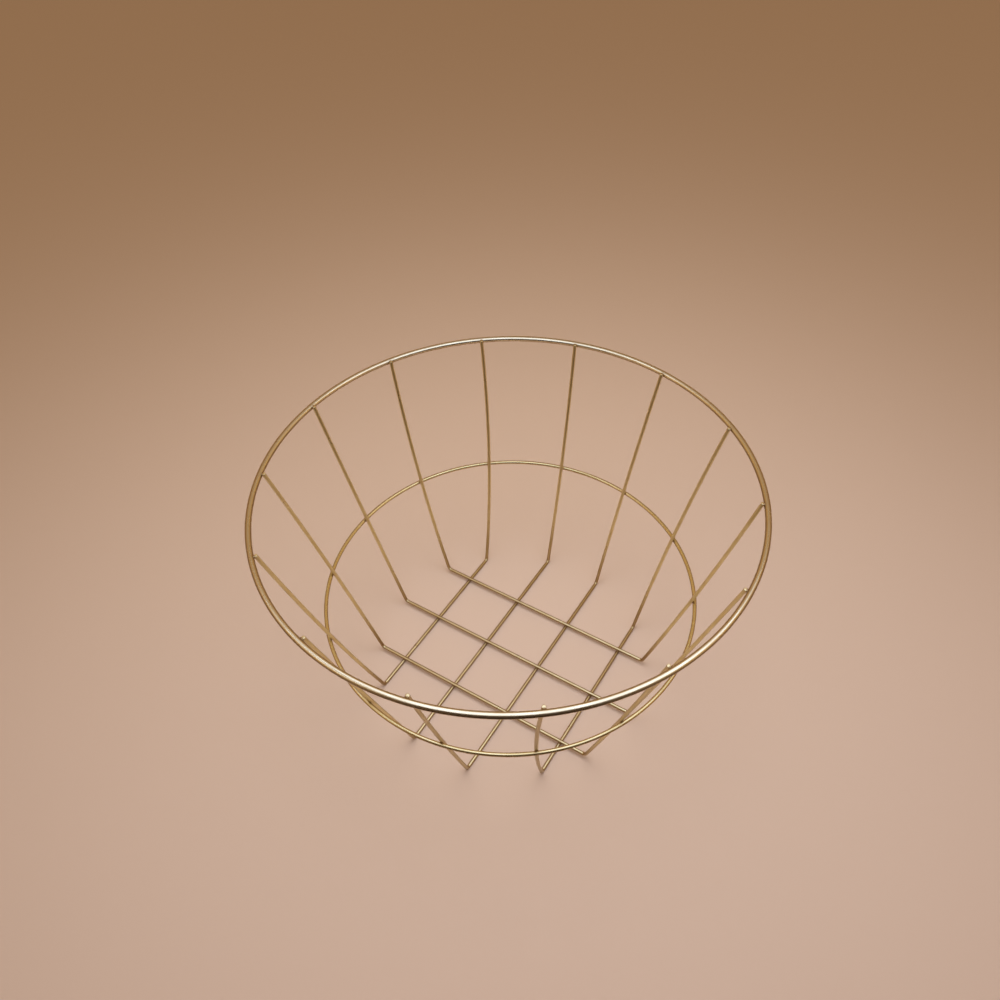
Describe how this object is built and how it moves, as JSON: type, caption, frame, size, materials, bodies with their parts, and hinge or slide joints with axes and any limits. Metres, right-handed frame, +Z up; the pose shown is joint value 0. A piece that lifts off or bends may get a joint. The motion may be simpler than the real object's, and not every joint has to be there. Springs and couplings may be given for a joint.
{
  "type": "wire fruit bowl",
  "caption": "Round open bowl of gold bent wire: a flat crossed grid turns up into flaring uprights, held by a thin waist ring and a thick rim.",
  "frame": {"origin": "on the table, under the middle of the base grid and on the axis of the two rings", "axes": "+Z up out of the bowl's mouth, +X along the three upper grid wires, +Y along the four lower grid wires"},
  "size_m": [0.2834, 0.2834, 0.1618],
  "materials": {
    "rim_gold": "satin gold plating over steel wire",
    "ring_gold": "satin gold plating over steel wire",
    "wire_gold": "satin gold plating over steel wire"
  },
  "bodies": {
    "root": {"rim_ring": "rim_gold", "middle_ring": "ring_gold", "lower_wire_1": "wire_gold", "lower_wire_2": "wire_gold", "lower_wire_3": "wire_gold", "lower_wire_4": "wire_gold", "upper_wire_1": "wire_gold", "upper_wire_2": "wire_gold", "upper_wire_3": "wire_gold"}
  },
  "joints": []
}
